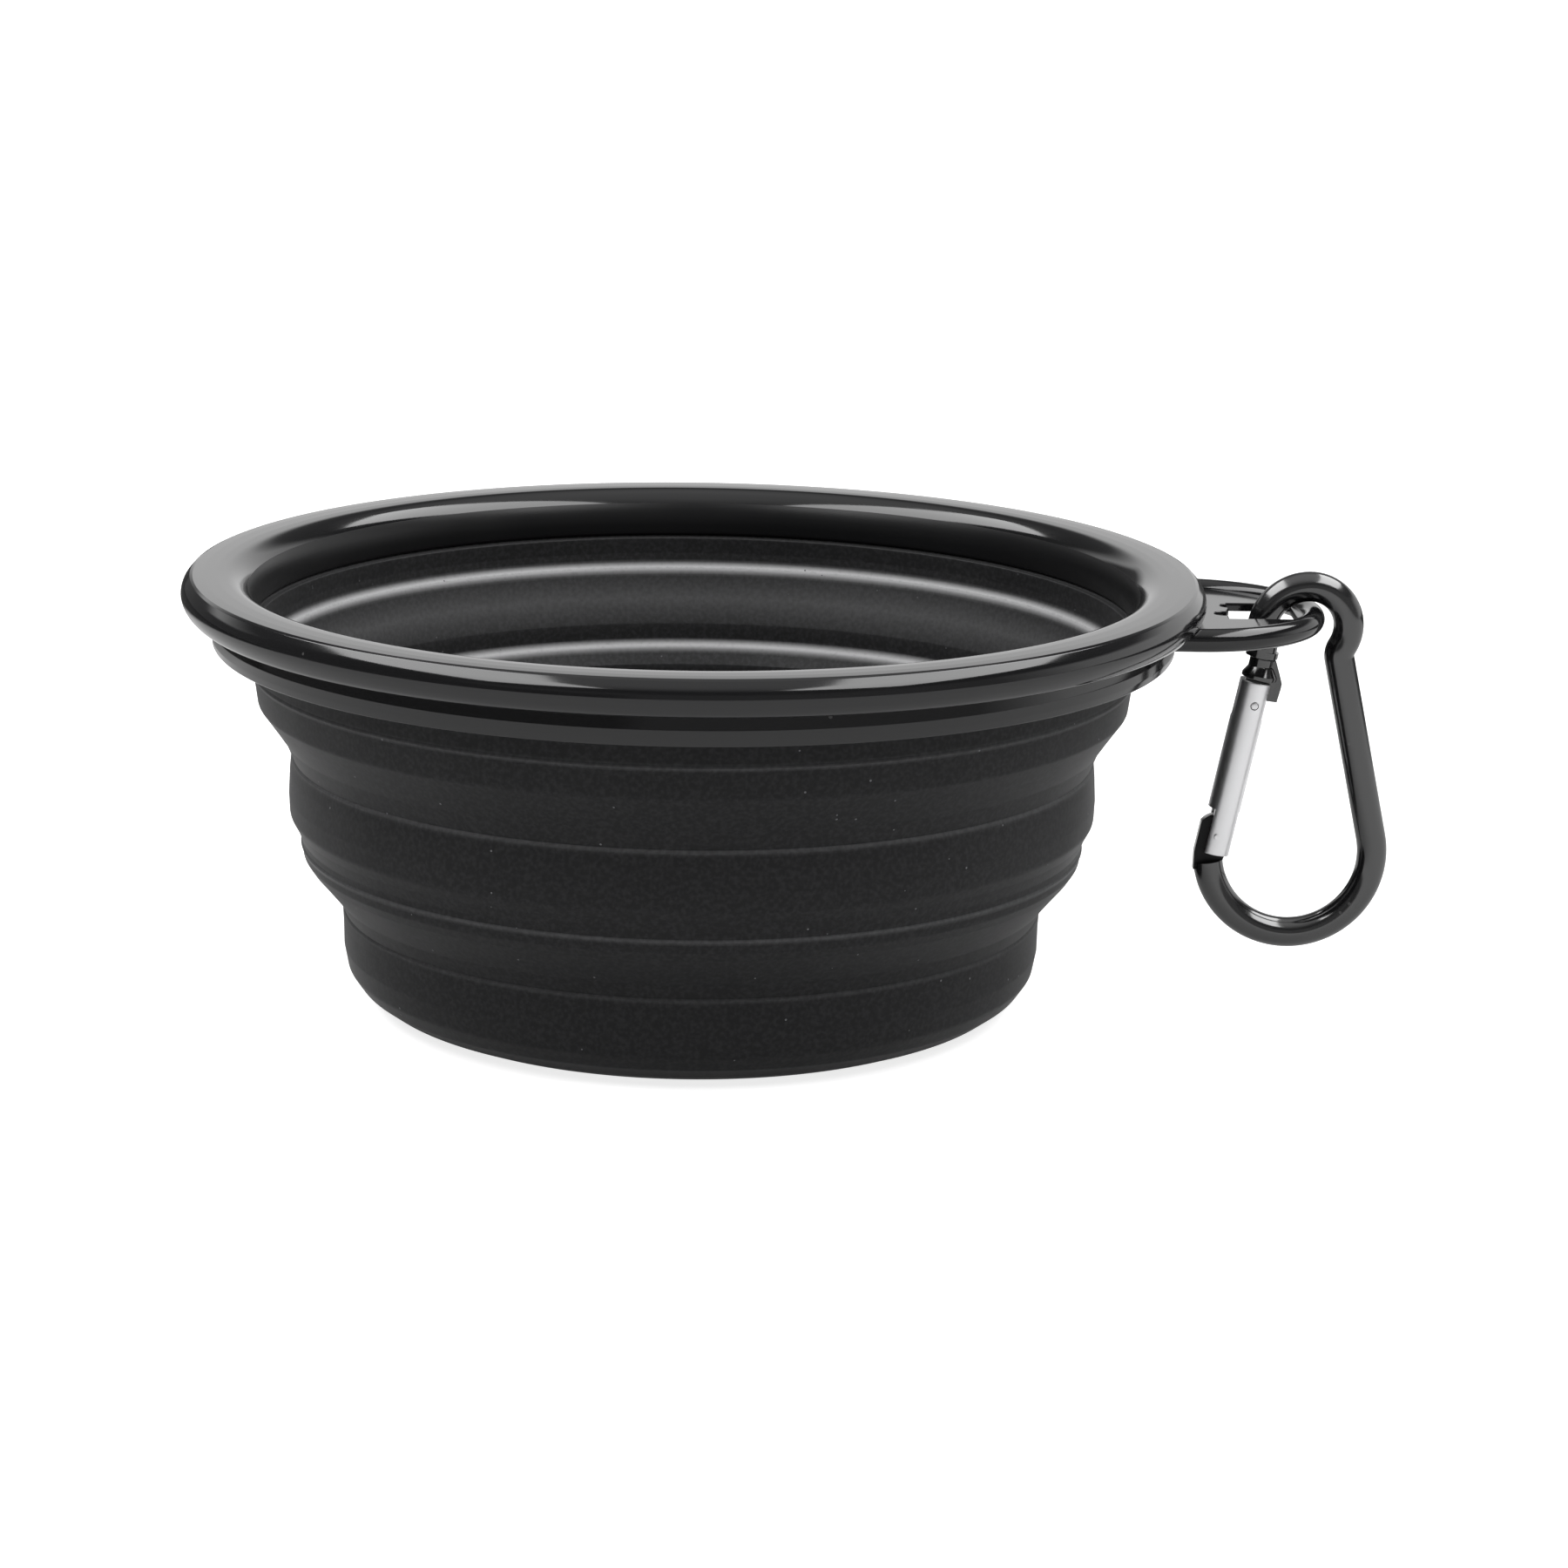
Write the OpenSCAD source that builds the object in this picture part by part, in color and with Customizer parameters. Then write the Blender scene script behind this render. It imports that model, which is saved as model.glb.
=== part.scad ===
// Collapsible pet bowl: a soft folding cup clamped in a hard rim, with a carabiner on the rim's tab.
// Origin at the centre of the base underside, +Z up, +X towards the tab and the carabiner.

/* [Rim] */
// Widest diameter of the lip
lip_d = 130.3; // [110:0.1:160]
// Distance of the sharp ridge, between the top face and the side, in from the widest
ridge_in = 1.45; // [1:0.05:4]
// Height of the ridge above the widest level
ridge_rise = 2.7; // [1:0.1:5]
// Distance of the lip's lower edge in from the widest
lip_edge_in = 1.35; // [0.5:0.05:3]
// Drop of the lip's lower edge under the widest level
lip_edge_drop = 1.5; // [0.5:0.1:3]
// Width of the rim, from its bore at the seam with the soft cup to the widest
rim_w = 9.15; // [7:0.05:13]
// Drop of the seam under the widest level
seam_drop = 3.6; // [2.5:0.1:6]
// Distance of the skirt in from the widest
skirt_in = 3.75; // [2:0.05:5]
// Drop of the skirt's lower edge under the widest level
skirt_drop = 6.1; // [5:0.1:10]
// Flare of the skirt, from its top out to its foot
skirt_flare = 0.6; // [0:0.1:1.2]

/* [Soft cup] */
// Wall of the skirt round the flange
clamp_wall = 2; // [1:0.1:2.8]
// Thickness of the flange
flange_t = 1.1; // [0.8:0.1:2]
// Step from the rim's bore out to the cup's collar
collar_step = 0.25; // [0:0.05:0.6]
// Height of the collar, from the seam to the upper fold
collar_h = 4.8; // [4:0.1:8]
// Wall of the collar
collar_wall = 0.85; // [0.6:0.05:2]
// Wall at the upper fold
fold_wall = 1.65; // [1:0.05:3]
// Height of the upper web
upper_web_h = 12.5; // [8:0.1:18]
// Step in from the collar to the top of the middle band
upper_step = 4.85; // [3:0.05:7]
// Wall at the top of the middle band
band_wall = 1.5; // [1:0.05:3]
// Height of the middle band
band_h = 11.3; // [7:0.1:16]
// Step in from the top of the middle band to the ledge under it
band_step = 1.1; // [0.5:0.05:2]
// Wall at the ledge
ledge_wall = 1.1; // [0.8:0.05:3]
// Height of the lower web
lower_web_h = 8.9; // [6:0.1:14]
// Step in from the ledge to the top of the base
lower_step = 5.3; // [3:0.05:8]
// Wall at the top of the base
base_wall = 1.6; // [1:0.05:3]
// Height of the base
base_h = 12.3; // [9:0.1:18]
// Width of the rounding outside, from the base to the flat underside
foot_round = 7; // [4:0.1:10]
// Thickness of the floor
floor_t = 2.5; // [1.5:0.1:4]
// Width of the rounding inside, from the wall to the flat floor
floor_round = 4.9; // [3:0.1:7]

/* [Tab] */
// Distance of the centre of the tab's round end in from the rim's widest
tab_in = 1.95; // [0:0.05:5]
// Radius of the bead's centre line round the end
tab_r = 16; // [10:0.1:22]
// Diameter of the bead
bead_d = 3; // [2:0.1:4]
// Drop of the bead's centre under the widest level
bead_drop = 2.5; // [1.8:0.1:3.5]
// Drop of the plate's top face under the widest level
plate_drop = 2; // [1.6:0.1:3]
// Thickness of the plate
plate_t = 1.1; // [0.8:0.1:2]
// Width of the slot
slot_w = 9.4; // [5:0.1:12]
// Distance of the slot's inner end out from the centre of the tab's round end
slot_out = 4.8; // [3:0.1:7]
// Diameter of the round lobes at the slot's inner corners
lobe_d = 2.6; // [1:0.1:3]
// Width of the strip of plate between the slot and the bead
strip_w = 0.9; // [0.4:0.1:3]

/* [Carabiner] */
// Diameter of the rod
rod_d = 3.7; // [3:0.1:4.5]
// Distance of the hook's centre in from the bead's centre line, at the end of the tab
hook_in = 0.35; // [0.2:0.05:0.6]
// Drop of the hook's centre under the widest level
hook_drop = 3.8; // [2.5:0.05:5]
// Radius of the hook's centre line
hook_r = 5.1; // [4.8:0.05:6.5]
// Radius of the kink's centre line
kink_r = 2.3; // [2.1:0.05:3]
// Lean of the spine from upright, outwards going down
spine_lean = 12.4; // [8:0.1:16]
// Distance from the hook's centre down to the centre of the bottom bend
loop_h = 30.2; // [26:0.1:36]
// Shift of the bottom bend's centre inwards from the hook's centre
loop_in = 1.1; // [0:0.1:2]
// Radius of the bottom bend's centre line
loop_r = 10.7; // [9:0.1:12]
// Lean of the gate from upright, inwards going down
gate_lean = 11.2; // [8:0.1:14]
// Height of the gate's pivot above the centre of the bottom bend
pivot_rise = 2.45; // [1.8:0.05:3]
// Diameter of the gate
gate_d = 3.9; // [3.2:0.1:4.6]
// Length of the rod's nose, from the end of the hook to the gate's top
nose_l = 8.4; // [7:0.1:10]
// Distance from the pivot to the gate's lower end
gate_heel = 2.5; // [2:0.1:3]
// Width of the slots in both ends of the gate
fork_w = 1.9; // [1.6:0.1:2.2]
// Clearance between a slot and what stands in it, on each side
fork_gap = 0.2; // [0.1:0.05:0.3]
// Depth of the top slot
top_slot_h = 5; // [4:0.1:6]
// Height of the lower slot above the pivot
low_slot_h = 3.5; // [3.4:0.1:5]
// Diameter of the hinge rivet
rivet_d = 1.2; // [0.8:0.1:1.5]
// Running clearance of the rivet in the tongue, on the radius
rivet_gap = 0.04; // [0.01:0.01:0.08]
// Diameter of the latch pin
pin_d = 0.9; // [0.6:0.05:1.2]
// Drop of the latch pin under the gate's top
pin_drop = 3; // [2.5:0.1:4]
// Shift of the latch pin from the gate's centre line, inwards
pin_in = 0.5; // [0:0.05:0.8]
// Clearance round the latch pin in the claw
pin_gap = 0.2; // [0.1:0.05:0.3]
// Diameter of the bore for the plunger and its spring
bore_d = 2.1; // [1.6:0.05:2.4]
// Running clearance of the plunger, on the radius
plunger_gap = 0.05; // [0.01:0.01:0.1]
// Length of the plunger
plunger_h = 3; // [2:0.1:4]
// Length left solid between the spring's bore and the top slot
bore_roof = 3.4; // [2:0.1:5]
// Diameter of the spring's wire
wire_d = 0.4; // [0.2:0.05:0.5]

/* [Hidden] */
$fn = 96;
overrun = bead_d;

gloss_black = [0.05, 0.05, 0.055];
soft_black = [0.09, 0.09, 0.095];
bright_metal = [0.75, 0.76, 0.78];
dark_metal = [0.07, 0.07, 0.075];

// Levels, from the base underside up
ledge_z = base_h + lower_web_h;
band_z = ledge_z + band_h;
fold_z = band_z + upper_web_h;
seam_z = fold_z + collar_h;
rim_z = seam_z + seam_drop;
lip_edge_z = rim_z - lip_edge_drop;
skirt_z = rim_z - skirt_drop;

lip_r = lip_d / 2;
ridge_r = lip_r - ridge_in;
lip_edge_r = lip_r - lip_edge_in;
rim_bore_r = lip_r - rim_w;
skirt_r = lip_r - skirt_in;
flange_r = skirt_r - clamp_wall;
collar_r = rim_bore_r + collar_step;
band_top_r = collar_r - upper_step;
ledge_r = band_top_r - band_step;
base_r = ledge_r - lower_step;
tab_x = lip_r - tab_in;
slot_x = tab_x + slot_out;
hook_x = tab_x + tab_r - hook_in;

// Curve points as shares: across from the first point to the second, then up or down likewise
mouth_shares = [[0.013, 0.286], [0.058, 0.54], [0.162, 0.76], [0.325, 0.918], [0.571, 0.996],
                [0.8, 1.01]];
lip_top_shares = [[0.5, 0.19], [0.83, 0.44], [1, 1]];
lip_low_shares = [[0.1, 0.5], [0.6, 0.89], [1, 1]];
shoulder_shares = [[0.1, 0.78], [0.4, 0.86], [0.8, 0.94]];
upper_out_shares = [[0, 0.136], [0.05, 0.256], [0.113, 0.432], [0.31, 0.536], [0.485, 0.632],
                    [0.794, 0.808]];
upper_in_shares = [[0.468, 0.512], [0.468, 0.688], [0.638, 0.728]];
band_out_shares = [[-0.273, 0.186], [-0.455, 0.451], [-0.364, 0.668], [0.364, 0.796], [0.909, 0.929]];
band_in_shares = [[0.4, 0.8]];
lower_out_shares = [[0.019, 0.18], [0.189, 0.326], [0.509, 0.551], [0.83, 0.781]];
lower_in_shares = [[0.569, 0.517], [0.569, 0.674], [0.655, 0.73]];
base_out_shares = [[-0.007, 0.154], [0, 0.407], [0.063, 0.61], [0.243, 0.756], [0.557, 0.894],
                   [0.871, 0.988]];
base_in_shares = [[0.06, 0.5], [0.19, 0.745], [0.46, 0.918]];

function between(a, b, share) = a + (b - a) * share;
function curve(from, to, shares) =
    [for (s = shares) [between(from[0], to[0], s[0]), between(from[1], to[1], s[1])]];
function backwards(points) = [for (i = [len(points) - 1 : -1 : 0]) points[i]];

// One soft ring between two levels: its outer curve down and its inner curve back up
function wall_points(out_top, out_foot, out_shares, in_top, in_foot, in_shares) =
    concat([out_top], curve(out_top, out_foot, out_shares), [out_foot, in_foot],
           backwards(curve(in_top, in_foot, in_shares)), [in_top]);

module turned(points)
    rotate_extrude()
        polygon(points);

// Carabiner layout, in the plane through the bowl's axis and the tab
bead_z = rim_z - bead_drop;
plate_z = rim_z - plate_drop - plate_t;
bead_in_r = tab_r - bead_d / 2;
slot_end = tab_x + bead_in_r - strip_w;
hook_z = rim_z - hook_drop;
loop_x = hook_x - loop_in;
loop_z = hook_z - loop_h;
hook_to_spine = loop_r - loop_in * cos(spine_lean) - loop_h * sin(spine_lean);
kink_reach = hook_r + kink_r;
kink_across = hook_to_spine + kink_r;
kink_along = sqrt(kink_reach * kink_reach - kink_across * kink_across);
kink_turn = spine_lean - atan2(kink_along, kink_across);
kink_x = hook_x + kink_reach * cos(kink_turn);
kink_z = hook_z + kink_reach * sin(kink_turn);
spine_top_x = kink_x - kink_r * cos(spine_lean);
spine_top_z = kink_z - kink_r * sin(spine_lean);
spine_foot_x = loop_x + loop_r * cos(spine_lean);
spine_foot_z = loop_z + loop_r * sin(spine_lean);
spine_l = norm([spine_top_x - spine_foot_x, spine_top_z - spine_foot_z]);
pivot_z = loop_z + pivot_rise;
gate_reach = (hook_z + hook_r * sin(gate_lean) - pivot_z) / cos(gate_lean);
pivot_x = hook_x - hook_r * cos(gate_lean) - gate_reach * sin(gate_lean);
loop_end_turn = 186;
rod_lap = 0.2;
rod_step = 0.1;
lapped_d = rod_d + rod_step;

// Along the gate's line, measured up from the pivot
gate_top = gate_reach - nose_l;
pin_up = gate_top - pin_drop;
nose_gap = 0.4;
nose_foot = gate_top + nose_gap;
collar_band_h = 0.5;
collar_cone_h = 1.2;
neck_h = 1.1;
neck_d = 3.1;
nose_collar_d = 4.6;
nose_shift = 0.5;
nose_top = nose_foot + collar_band_h + collar_cone_h;
tab_t = fork_w - 2 * fork_gap;
claw_back = 1.2;
claw_reach = 3.3;
claw_drop = 2.15;
lip_t = 0.75;
seat_r = pin_d / 2 + pin_gap;
tongue_r = 2.75;
tongue_back = 2.4;
tongue_front = gate_d / 2 - fork_gap;
tongue_root = 2.4;
heel_cut = 1.15;
bore_top = gate_top - top_slot_h - bore_roof;
spring_h = bore_top - low_slot_h - plunger_h;

module at_pivot()
    translate([pivot_x, 0, pivot_z])
        rotate([0, gate_lean, 0])
            children();

// A flat blade of even thickness, standing in the carabiner's plane
module blade(thick)
    rotate([90, 0, 0])
        linear_extrude(height = thick, center = true)
            children();

module cross_pin(d, l)
    rotate([90, 0, 0])
        cylinder(h = l, d = d, center = true, $fn = 32);

// A bent stretch of rod, round a centre in the carabiner's plane
module bend(x, z, r, d, from, to)
    translate([x, 0, z])
        rotate([90, 0, 0])
            rotate([0, 0, from])
                rotate_extrude(angle = to - from)
                    translate([r, 0])
                        circle(d = d, $fn = 32);

// Angle that one stretch runs past its end, into the next
function lap_turn(r) = rod_lap / r * 180 / PI;

// Rim with the lip, the top face, the inner wall and the tab
module rim_section() {
    seam_in = [rim_bore_r, seam_z];
    ridge = [ridge_r, rim_z + ridge_rise];
    wide = [lip_r, rim_z];
    lip_edge = [lip_edge_r, lip_edge_z];
    rotate_extrude()
        polygon(concat([seam_in], curve(seam_in, ridge, mouth_shares), [ridge],
                       curve(ridge, wide, lip_top_shares), curve(wide, lip_edge, lip_low_shares),
                       [[flange_r, lip_edge_z], [flange_r, seam_z]]));
}

module tab_outline(r) {
    translate([tab_x, 0])
        circle(r = r);
    translate([0, -r])
        square([tab_x, 2 * r]);
}

module slot_outline() {
    translate([slot_x, -slot_w / 2])
        square([slot_end - slot_x, slot_w]);
    for (side = [-1, 1])
        translate([slot_x - lobe_d / 4, side * (slot_w - lobe_d) / 2])
            circle(d = lobe_d, $fn = 32);
}

module bead() {
    translate([tab_x, 0, bead_z])
        rotate([0, 0, -90])
            rotate_extrude(angle = 180)
                translate([tab_r, 0])
                    circle(d = bead_d, $fn = 32);
    for (side = [-1, 1])
        translate([tab_x, side * tab_r, bead_z])
            rotate([0, -90, 0])
                cylinder(h = tab_x - skirt_r / 2, d = bead_d, $fn = 32);
}

module tab() {
    difference() {
        union() {
            bead();
            translate([0, 0, plate_z])
                linear_extrude(height = plate_t)
                    tab_outline(tab_r);
            translate([0, 0, plate_z])
                intersection() {
                    linear_extrude(height = lip_edge_z - plate_z + ridge_rise / 4)
                        tab_outline(tab_r);
                    cylinder(h = overrun, r = lip_edge_r - bead_d / 4);
                }
        }
        translate([0, 0, plate_z - overrun])
            linear_extrude(height = plate_t + 2 * overrun)
                slot_outline();
        translate([0, 0, plate_z - overrun])
            cylinder(h = 3 * overrun, r = skirt_r);
    }
}

module rim_ring()
    color(gloss_black)
        union() {
            rim_section();
            tab();
        }

// Skirt that closes the clamp from below
module clamp_ring()
    color(gloss_black)
        turned([[flange_r, lip_edge_z], [skirt_r - skirt_flare, lip_edge_z],
                [skirt_r - skirt_flare / 8, between(lip_edge_z, skirt_z, 0.6)], [skirt_r, skirt_z],
                [collar_r, skirt_z], [collar_r, seam_z - flange_t], [flange_r, seam_z - flange_t]]);

// Flanged top of the soft cup
module silicone_collar() {
    in_top = [collar_r - collar_wall, seam_z];
    in_foot = [collar_r - fold_wall, fold_z];
    color(soft_black)
        turned(concat([in_top, [flange_r, seam_z], [flange_r, seam_z - flange_t],
                       [collar_r, seam_z - flange_t], [collar_r, fold_z], in_foot],
                      backwards(curve(in_top, in_foot, shoulder_shares))));
}

module upper_web()
    color(soft_black)
        turned(wall_points([collar_r, fold_z], [band_top_r, band_z], upper_out_shares,
                           [collar_r - fold_wall, fold_z], [band_top_r - band_wall, band_z],
                           upper_in_shares));

module middle_band()
    color(soft_black)
        turned(wall_points([band_top_r, band_z], [ledge_r, ledge_z], band_out_shares,
                           [band_top_r - band_wall, band_z], [ledge_r - ledge_wall, ledge_z],
                           band_in_shares));

module lower_web()
    color(soft_black)
        turned(wall_points([ledge_r, ledge_z], [base_r, base_h], lower_out_shares,
                           [ledge_r - ledge_wall, ledge_z], [base_r - base_wall, base_h],
                           lower_in_shares));

// Foot of the cup, closed by the floor
module base_cup() {
    out_top = [base_r, base_h];
    out_foot = [base_r - foot_round, 0];
    in_top = [base_r - base_wall, base_h];
    in_foot = [base_r - base_wall - floor_round, floor_t];
    color(soft_black)
        turned(concat([out_top], curve(out_top, out_foot, base_out_shares),
                      [out_foot, [0, 0], [0, floor_t], in_foot],
                      backwards(curve(in_top, in_foot, base_in_shares)), [in_top]));
}

// Nose of the rod: straight end, neck and flared collar above the gate
module nose() {
    neck_top = nose_top + neck_h;
    neck_foot = nose_foot + collar_band_h / 2;
    rod_top = gate_reach + rod_lap;
    at_pivot() {
        rotate_extrude($fn = 32)
            polygon([[0, neck_foot], [neck_d / 2, neck_foot], [neck_d / 2, neck_top],
                     [lapped_d / 2, neck_top], [lapped_d / 2, rod_top], [0, rod_top]]);
        translate([nose_shift, 0, 0])
            rotate_extrude($fn = 32)
                polygon([[0, nose_foot], [nose_collar_d / 2, nose_foot],
                         [nose_collar_d / 2, nose_foot + collar_band_h], [neck_d / 2, nose_top],
                         [0, nose_top]]);
    }
}

// Claw under the collar, with the seat that the latch pin slides into from the inner side
module claw() {
    roof = pin_up + seat_r;
    shelf = pin_up - seat_r;
    claw_top = nose_foot + collar_band_h / 3;
    at_pivot()
        blade(tab_t)
            difference() {
                polygon([[-claw_back, claw_top], [claw_reach, claw_top],
                         [claw_reach, nose_foot - tab_t / 2], [claw_reach - lip_t / 2, gate_top - claw_drop],
                         [claw_back, roof], [claw_back, shelf - lip_t], [-claw_back, shelf - lip_t]]);
                translate([pin_in, pin_up])
                    circle(r = seat_r, $fn = 32);
                translate([pin_in, shelf])
                    square([claw_reach, 2 * seat_r]);
            }
}

// Flat tongue that stands in the gate's lower slot and carries the hinge rivet
module tongue()
    at_pivot()
        blade(tab_t)
            difference() {
                union() {
                    intersection() {
                        circle(r = tongue_r, $fn = 64);
                        translate([tongue_front - 2 * tongue_r, -tongue_r])
                            square(2 * tongue_r);
                    }
                    polygon([[-tongue_back, tongue_r / 2], [-tongue_back, -tongue_r],
                             [-tongue_back + rivet_d / 3, -tongue_r - tongue_root],
                             [rivet_d, -tongue_r - tongue_root], [tongue_front, -tongue_r / 2], [0, 0]]);
                }
                circle(d = rivet_d + 2 * rivet_gap, $fn = 32);
            }

module carabiner_frame()
    color(dark_metal)
        union() {
            bend(hook_x, hook_z, hook_r, rod_d, kink_turn, 180 - gate_lean);
            bend(kink_x, kink_z, kink_r, lapped_d, 180 + kink_turn - lap_turn(kink_r),
                 180 + spine_lean + lap_turn(kink_r));
            translate([spine_foot_x, 0, spine_foot_z])
                rotate([0, -spine_lean, 0])
                    cylinder(h = spine_l, d = rod_d, $fn = 32);
            bend(loop_x, loop_z, loop_r, lapped_d, loop_end_turn, 360 + spine_lean + lap_turn(loop_r));
            nose();
            claw();
            tongue();
        }

// Tubular gate, forked at both ends
module gate()
    color(bright_metal)
        at_pivot()
            difference() {
                translate([0, 0, -gate_heel])
                    cylinder(h = gate_top + gate_heel, d = gate_d, $fn = 64);
                translate([-gate_d, -fork_w / 2, gate_top - top_slot_h])
                    cube([2 * gate_d, fork_w, top_slot_h + overrun]);
                translate([-gate_d, -fork_w / 2, -gate_heel - overrun])
                    cube([2 * gate_d, fork_w, gate_heel + low_slot_h + overrun]);
                translate([-heel_cut - gate_d, -gate_d, -gate_heel - overrun])
                    cube([gate_d, 2 * gate_d, gate_heel + low_slot_h + overrun]);
                cylinder(h = bore_top, d = bore_d, $fn = 32);
                cross_pin(rivet_d, 2 * gate_d);
                translate([pin_in, 0, pin_up])
                    cross_pin(pin_d, 2 * gate_d);
            }

module gate_rivet()
    color(bright_metal)
        at_pivot()
            cross_pin(rivet_d, gate_d);

module latch_pin()
    color(bright_metal)
        at_pivot()
            translate([pin_in, 0, pin_up])
                cross_pin(pin_d, gate_d);

module gate_plunger()
    color(bright_metal)
        at_pivot()
            translate([0, 0, low_slot_h])
                cylinder(h = plunger_h, d = bore_d - 2 * plunger_gap, $fn = 32);

module gate_spring()
    color(bright_metal)
        at_pivot()
            translate([0, 0, low_slot_h + plunger_h])
                difference() {
                    cylinder(h = spring_h, d = bore_d - 4 * plunger_gap, $fn = 32);
                    translate([0, 0, -overrun])
                        cylinder(h = spring_h + 2 * overrun, d = bore_d - 4 * plunger_gap - 2 * wire_d,
                                 $fn = 32);
                }

rim_ring();
clamp_ring();
silicone_collar();
upper_web();
middle_band();
lower_web();
base_cup();
carabiner_frame();
gate();
gate_rivet();
latch_pin();
gate_plunger();
gate_spring();
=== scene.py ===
# Collapsible pet bowl with a carabiner on its tab: the visual model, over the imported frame.
# Lengths are written in millimetres and turned into metres as each mesh is made.
from math import acos, atan2, cos, degrees, pi, radians, sin, sqrt

import bmesh
import bpy
from mathutils import Matrix, Vector


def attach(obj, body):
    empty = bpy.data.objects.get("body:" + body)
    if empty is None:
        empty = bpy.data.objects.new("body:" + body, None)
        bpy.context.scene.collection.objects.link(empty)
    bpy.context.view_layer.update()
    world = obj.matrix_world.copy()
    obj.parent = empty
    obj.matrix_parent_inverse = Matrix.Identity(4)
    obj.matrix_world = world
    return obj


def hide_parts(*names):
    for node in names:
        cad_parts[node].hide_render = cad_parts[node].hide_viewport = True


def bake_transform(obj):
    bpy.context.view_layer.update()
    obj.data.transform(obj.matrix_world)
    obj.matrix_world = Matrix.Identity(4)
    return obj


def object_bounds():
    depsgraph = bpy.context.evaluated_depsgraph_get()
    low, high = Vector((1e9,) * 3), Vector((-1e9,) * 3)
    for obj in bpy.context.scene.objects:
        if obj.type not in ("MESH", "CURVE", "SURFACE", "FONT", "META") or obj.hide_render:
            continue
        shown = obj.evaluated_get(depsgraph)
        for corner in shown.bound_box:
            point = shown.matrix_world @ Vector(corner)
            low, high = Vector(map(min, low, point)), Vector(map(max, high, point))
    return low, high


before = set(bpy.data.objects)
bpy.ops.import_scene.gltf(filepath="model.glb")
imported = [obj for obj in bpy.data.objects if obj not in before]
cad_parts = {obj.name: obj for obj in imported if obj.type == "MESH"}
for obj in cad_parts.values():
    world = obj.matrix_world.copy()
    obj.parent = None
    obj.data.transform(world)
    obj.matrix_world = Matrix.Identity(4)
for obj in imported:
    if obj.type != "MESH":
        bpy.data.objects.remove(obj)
cad_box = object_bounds()

scene = bpy.context.scene
MM = 0.001

# Flats in a full turn of the bowl, and the space left between rings that touch
TURNS = 256
CLOSE = 0.02

# Levels of the bowl, from the underside of its base
FLOOR_TOP = 2.5
BASE_TOP = 12.3
LEDGE = 21.2
BAND_TOP = 32.5
FOLD = 45.0
SKIRT_FOOT = 47.3
CLAMP_FOOT = 48.7
FLANGE_FOOT = 48.72
FLANGE_TOP = 49.75
SEAM = 49.8
LIP_FOOT = 51.9
LIP = 53.4

# Radii of the bowl
SKIRT_R = 61.4
FLANGE_R = 59.4
COLLAR_R = 56.25
RIM_BORE_R = 56.0

# The tab: its middle, its bead, its sunk plate and the slot in it
TAB_X = 63.2
TAB_R = 16.0
BEAD_R = 1.5
BEAD_Z = LIP - 2.5
BEAD_ROOT = (58.3, 59.5, 61.0, 62.2)
PLATE_TOP = LIP - 2.0
PLATE_T = 1.1
PLATE_EDGE = 0.15
PLATE_R = TAB_R - 0.4
PLATE_ROOT_R = 60.1
PLATE_ROOT_TURN = degrees(atan2(15.7, 59.5))
SLOT_HALF = 4.85
SLOT_END = TAB_X + TAB_R - BEAD_R - 0.9
SLOT_CORNER = 0.5
SLOT_BACK = (68.0, 68.75)

# The slot's two lobes: the centre of each, and where its round side stops
LOBE_R = 1.3
LOBES = ((67.7, -1.75, 68.1), (69.0, 3.3, 68.7))

# The carabiner, in the plane through the bowl's axis and the tab
ROD_R = 1.93
HOOK = (78.85, 49.55)
HOOK_R = 5.15
HOOK_DROP = 0.9
KINK_R = 2.3
LOOP = (77.75, 19.4)
LOOP_R = 10.7
LOOP_END = 186.0
SPINE_LEAN = radians(12.4)
NECK_SHIFT = 0.3
NOSE_FOOT = 21.3
BLADE_T = 1.5
BLADE_EDGE = 0.1
CLAW_SEAT_R = 0.65
TONGUE_HOLE_R = 0.66

# The gate, measured from its hinge
GATE_LEAN = radians(11.2)
GATE_TOP = 20.9
GATE_FOOT = -2.5
GATE_R = 2.1
GATE_SHIFT = 0.15
FORK_HALF = 0.95
FORK_FOOT = 15.9
HEEL_TOP = 3.5
HEEL_BACK = -1.15
RIVET_R = 0.6
PIN_R = 0.45
PIN_HOLE_R = 0.56
PIN_UP = 17.9
PIN_IN = 0.5
PIVOT_Z = LOOP[1] + 2.45
GATE_REACH = (HOOK[1] + HOOK_R * sin(GATE_LEAN) - PIVOT_Z) / cos(GATE_LEAN)
PIVOT_X = HOOK[0] - HOOK_R * cos(GATE_LEAN) - GATE_REACH * sin(GATE_LEAN)


# Outlines

def rounded(corners, closed=True, steps=5):
    """An outline from corners of (across, up, radius), each eased by a curve of about that radius."""
    points = []
    count = len(corners)
    for i in range(count):
        x, z, r = corners[i]
        here = Vector((x, z))
        if r <= 0 or (not closed and i in (0, count - 1)):
            points.append(here)
            continue
        before = Vector(corners[i - 1][:2]) - here
        after = Vector(corners[(i + 1) % count][:2]) - here
        half = before.angle(after) / 2
        wanted = r / max(abs(sin(half)) / cos(half), 1e-6)
        # A corner takes up less than half of each side that meets in it
        inset = min(wanted, 0.49 * before.length, 0.49 * after.length)
        start = here + before.normalized() * inset
        end = here + after.normalized() * inset
        for k in range(steps + 1):
            t = k / steps
            points.append(start * (1 - t) ** 2 + here * 2 * t * (1 - t) + end * t ** 2)
    return [(p.x, p.y) for p in points]


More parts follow.
